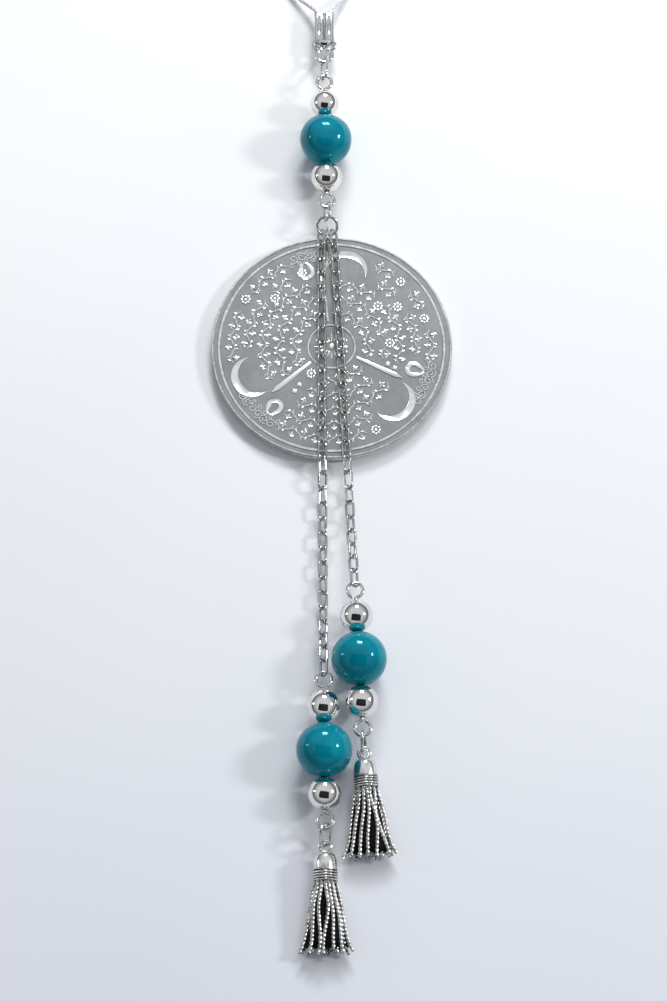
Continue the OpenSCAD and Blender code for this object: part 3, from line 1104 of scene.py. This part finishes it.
def addDrop(art, angle):  # an open drop whose point faces the rim, in two halves
    middle = polar(16.0, angle + 9)
    for half in (0, 1):
        edge, widths = [], []
        for k in range(17):
            a = math.pi * (k / 16 + half) + math.radians(angle + 9)
            point = max(0, math.cos(a - math.radians(angle + 9))) ** 6
            edge.append(middle + Vector((math.cos(a), math.sin(a), 0)) * (1.15 + 0.75 * point))
            widths.append(0.82 - 0.55 * point)
        art["plates"].append(strip(edge, widths))
    art["taken"].append((middle, 1.95))


def addScrolls(art, angle):  # large and small scrolls along the rim
    for k in range(6):
        centre = polar(19.3, angle - 9 + k * 4.6)
        hand = 1 if k % 2 else -1
        art["lines"].append(spiral(centre, 0.95, 1.4, math.radians(angle + 180 + 60 * k), hand))
        small = polar(18.2, angle - 6.5 + k * 4.6)
        art["lines"].append(spiral(small, 0.5, 1.1, math.radians(angle + 40 * k), -hand, 14))
        art["taken"].append((centre, 1.0))


def addDiamond(art, centre):
    art["plates"].append([centre + polar(0.52, 90 * n + 29) for n in range(4)])
    art["taken"].append((centre, 1.0))


def addRosette(art, centre):  # a ring of eight dots round a ninth
    for k in range(9):
        petal = centre if k == 8 else centre + polar(0.72, 45 * k)
        art["plates"].append([petal + polar(0.3 if k == 8 else 0.24, 45 * n) for n in range(8)])
    art["taken"].append((centre, 1.05))


# one bend of the stem, with a fan of three leaves and a berry in it and two more leaves outside
def addVineUnit(s, art, radius, start, wide, out):
    def on(u, v):
        return polar(radius + out * v, start + math.degrees(u / radius))

    stem = [on(wide * n / 10, s["swing"] * math.sin(math.pi * n / 10) - 0.1) for n in range(11)]
    leaves = []
    for heading, long, thick in ((-52, 0.78, 0.26), (0, 0.95, 0.30), (52, 0.78, 0.26)):
        a = math.radians(90 - heading)
        away = [0.12 + long * t for t in (0, 0.3, 0.6, 1)]
        line = [on(wide / 2 + r * math.cos(a), -0.95 + r * math.sin(a)) for r in away]
        leaves.append(strip(line, [0.07, thick, thick * 0.8, 0.04]))
    for u, heading in ((0.25, 62), (0.75, 118)):
        a = math.radians(heading)
        foot = s["swing"] * math.sin(math.pi * u)
        line = [on(wide * u + r * math.cos(a), foot + r * math.sin(a)) for r in (0, 0.24, 0.48, 0.8)]
        leaves.append(strip(line, [0.07, 0.26, 0.2, 0.04]))
    leavesClear = all(isFree(leaf[k], s, art, -0.15) for leaf in leaves for k in (2, 3))
    if leavesClear and all(isFree(p, s, art) for p in stem[1:-1]):
        art["lines"].append(stem)
        art["plates"] += leaves
        berry = on(wide / 2, -1.05)
        art["plates"].append([berry + polar(0.22, 45 * n) for n in range(8)])


def addBand(s, art, number, radius):  # a wavy stem round the disc, broken where something larger lies
    count = 2 * round(tau * radius / s["wave"] / 2)
    step = 360 / count
    for k in range(count):
        start = step * k + 11 * number
        addVineUnit(s, art, radius, start, math.radians(step) * radius, 1 if k % 2 else -1)


def addStar(art):  # the middle medallion: eight long rays, eight short ones, dots and a boss
    for k in range(8):
        for turn, tip in ((0, 3.3), (22.5, 2.3)):
            ray = [polar(r, 45 * k + turn) for r in (1.1, tip * 0.6, tip * 0.8, tip)]
            art["plates"].append(strip(ray, [0.10, 0.34, 0.26, 0.04]))
        art["plates"].append([polar(3.0, 45 * k + 22.5) + polar(0.2, 45 * n) for n in range(8)])
    art["plates"].append([polar(0.5, 15 * k) for k in range(24)])


def makeOrnament(s):
    art = {"plates": [], "lines": [], "taken": []}
    for angle in s["rays"]:
        addRay(s, art, angle)
        addDrop(art, angle)
        addScrolls(art, angle)
    for x, y in s["diamonds"]:
        addDiamond(art, Vector((x, y, 0)))
    for x, y in s["rosettes"]:
        addRosette(art, Vector((x, y, 0)))
    for number, radius in enumerate(s["bands"]):
        addBand(s, art, number, radius)
    addStar(art)
    work = newCurve("disc_vine_lines", s["line"] * mm, 1)
    for line in art["lines"]:
        addLine(work, [Vector((p.x, p.y, s["floor"] + 0.01)) * mm for p in line])
    work = asMesh(work)
    smoothShade(work, 60)
    finished(work, "disc", None, lineMetal)
    raised = flatShape("disc_raised_leaves", art["plates"], s)
    finished(raised, "disc", None, lineMetal)


makeOrnament(ornamentSet)
print("ornament raised")
